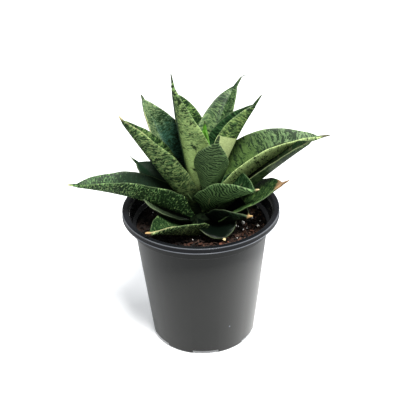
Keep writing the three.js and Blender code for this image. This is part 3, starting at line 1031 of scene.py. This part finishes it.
def crown_material():
    """Old leaf bases and fibres round the stem, painted near-black as painted shade, for the deep shade in
    the middle of the rosette.
    """
    g = Graph("crown_fibre")
    fibre = g.noise(g.position(), scale=420.0, detail=4.0, roughness=0.65)
    colour = g.blend(g.step(fibre, 0.35, 0.7), (0.002, 0.005, 0.002), (0.012, 0.022, 0.009))
    return g.finish(colour, g.add(g.times(fibre, 0.2), 0.7), g.bump(fibre, 0.0005, 0.8),
                    Specular_IOR_Level=0.1)


def build_crown():
    """The knuckly stem under the leaves, ringed with old leaf bases."""
    random = np.random.default_rng(3)
    points = []
    for r in range(CROWN_RINGS + 1):
        t = r / CROWN_RINGS
        plain = CROWN_RADIUS * math.sqrt(max(math.sin(math.pi * t ** 0.8), 0))
        z = CROWN_FOOT + (CROWN_TOP - CROWN_FOOT) * t
        for a in circle(CROWN_SEGMENTS):
            knuckle = 0.25 * math.sin(t * 34 + 2 * math.sin(a * 3 + 1)) + 0.2 * math.sin(a * 9 + t * 12)
            radius = max(plain - 0.5 + knuckle + random.uniform(-0.06, 0.06), 0.02)
            points.append(around(radius, a, z, CROWN_CENTRE))
    faces = turned_over(band_faces(CROWN_RINGS + 1, CROWN_SEGMENTS))
    faces.append(tuple(reversed(range(CROWN_SEGMENTS))))
    faces.append(tuple(range(CROWN_RINGS * CROWN_SEGMENTS, len(points))))
    crown = mesh_piece("crown_stem", points, faces, crown_material())
    stand_for(crown, "crown", "crown")


# ---- studio ----

ROOM_LIGHT = 0.34
FLOOR_GLOW = 0.27
FLOOR_REACH = 6000
# The lamps, in metres and watts: (name, direction from the plant, distance, size, power, colour).
LAMPS = [("key", (0.122, -0.40, 0.908), 1.3, 0.36, 26, (1.0, 0.985, 0.95)),
         ("right_fill", (0.95, 0.10, 0.45), 0.45, 0.25, 1.2, (1, 1, 1)),
         ("left_fill", (-0.95, 0.25, 0.30), 0.45, 0.25, 0.3, (1, 1, 1))]
LAMPS_AIM = (0, 0, 0.1)


def build_floor():
    """A pale floor that is seen bright but throws less light back at the plant."""
    g = Graph("pale_floor")
    fleck = g.noise(g.position(), scale=6.0)
    pale = g.blend(fleck, (0.85, 0.86, 0.88), (0.87, 0.88, 0.90))
    seen = g.node("ShaderNodeBsdfPrincipled", {
        "Base Color": pale, "Roughness": 0.9, "Emission Color": (0.97, 0.99, 1.0, 1.0),
        "Emission Strength": FLOOR_GLOW})
    bounced = g.node("ShaderNodeBsdfDiffuse", {"Color": (0.42, 0.43, 0.44, 1.0)})
    rays = g.node("ShaderNodeLightPath")
    either = g.node("ShaderNodeMixShader", {0: rays.outputs["Is Camera Ray"], 1: bounced.outputs[0],
                                            2: seen.outputs[0]})
    g.node("ShaderNodeOutputMaterial", {"Surface": either.outputs[0]})
    corners = [(x * FLOOR_REACH, y * FLOOR_REACH, 0) for x, y in ((-1, -1), (1, -1), (1, 1), (-1, 1))]
    floor = mesh_piece("studio_floor", corners, [(0, 1, 2, 3)], g.material)


def build_lamp(name, towards, distance, size, power, colour):
    """A square lamp that looks at the plant from the given direction."""
    data = bpy.data.lights.new(name, "AREA")
    data.shape = "SQUARE"
    data.size = size
    data.energy = power
    data.color = colour
    lamp = bpy.data.objects.new(name, data)
    bpy.context.scene.collection.objects.link(lamp)
    direction = Vector(towards).normalized()
    lamp.location = Vector(LAMPS_AIM) + direction * distance
    lamp.rotation_mode = "QUATERNION"
    lamp.rotation_quaternion = direction.to_track_quat("Z", "Y")


def build_room():
    """A white background, which lights the plant more softly than it looks."""
    world = bpy.data.worlds.new("studio")
    bpy.context.scene.world = world
    world.use_nodes = True
    nodes, links = world.node_tree.nodes, world.node_tree.links
    seen = nodes["Background"]
    seen.inputs["Color"].default_value = (1.0, 1.0, 1.0, 1.0)
    room = nodes.new("ShaderNodeBackground")
    room.inputs["Color"].default_value = (0.96, 0.98, 1.0, 1.0)
    room.inputs["Strength"].default_value = ROOM_LIGHT
    rays = nodes.new("ShaderNodeLightPath")
    either = nodes.new("ShaderNodeMixShader")
    links.new(rays.outputs["Is Camera Ray"], either.inputs[0])
    links.new(room.outputs[0], either.inputs[1])
    links.new(seen.outputs[0], either.inputs[2])
    links.new(either.outputs[0], nodes["World Output"].inputs["Surface"])


def build_camera():
    """The camera as worked out from the ellipses of the pot's rim and foot."""
    elevation, distance = math.radians(33.43), 850
    pitch, yaw, roll = (math.radians(v) for v in (30.471, 0.418, 1.37))
    focal_pixels, picture_pixels, sensor = 1139.1, 416, 36
    place = Vector((0, -math.cos(elevation) * distance, math.sin(elevation) * distance + POT_HEIGHT / 2))
    ahead = Vector((math.sin(yaw) * math.cos(pitch), math.cos(yaw) * math.cos(pitch), -math.sin(pitch)))
    right = Vector((math.cos(yaw), -math.sin(yaw), 0))
    up = right.cross(ahead)
    rolled_right = right * math.cos(roll) - up * math.sin(roll)
    rolled_up = up * math.cos(roll) + right * math.sin(roll)
    data = bpy.data.cameras.new("camera")
    data.sensor_width = sensor
    data.lens = focal_pixels * sensor / picture_pixels
    data.clip_start, data.clip_end = 0.01, 50
    camera = bpy.data.objects.new("camera", data)
    bpy.context.scene.collection.objects.link(camera)
    matrix = Matrix((rolled_right, rolled_up, -ahead)).transposed().to_4x4()
    matrix.translation = place * MM
    camera.matrix_world = matrix
    bpy.context.scene.camera = camera


def main():
    build_camera()
    build_room()
    for lamp in LAMPS:
        build_lamp(*lamp)
    build_floor()
    build_pot()
    build_soil()
    build_grains()
    build_crown()
    for number, shape in enumerate(LEAVES):
        build_leaf(shape, number)
    scene = bpy.context.scene
    scene.view_settings.view_transform = "Standard"
    scene.view_settings.look = "Medium High Contrast"


main()
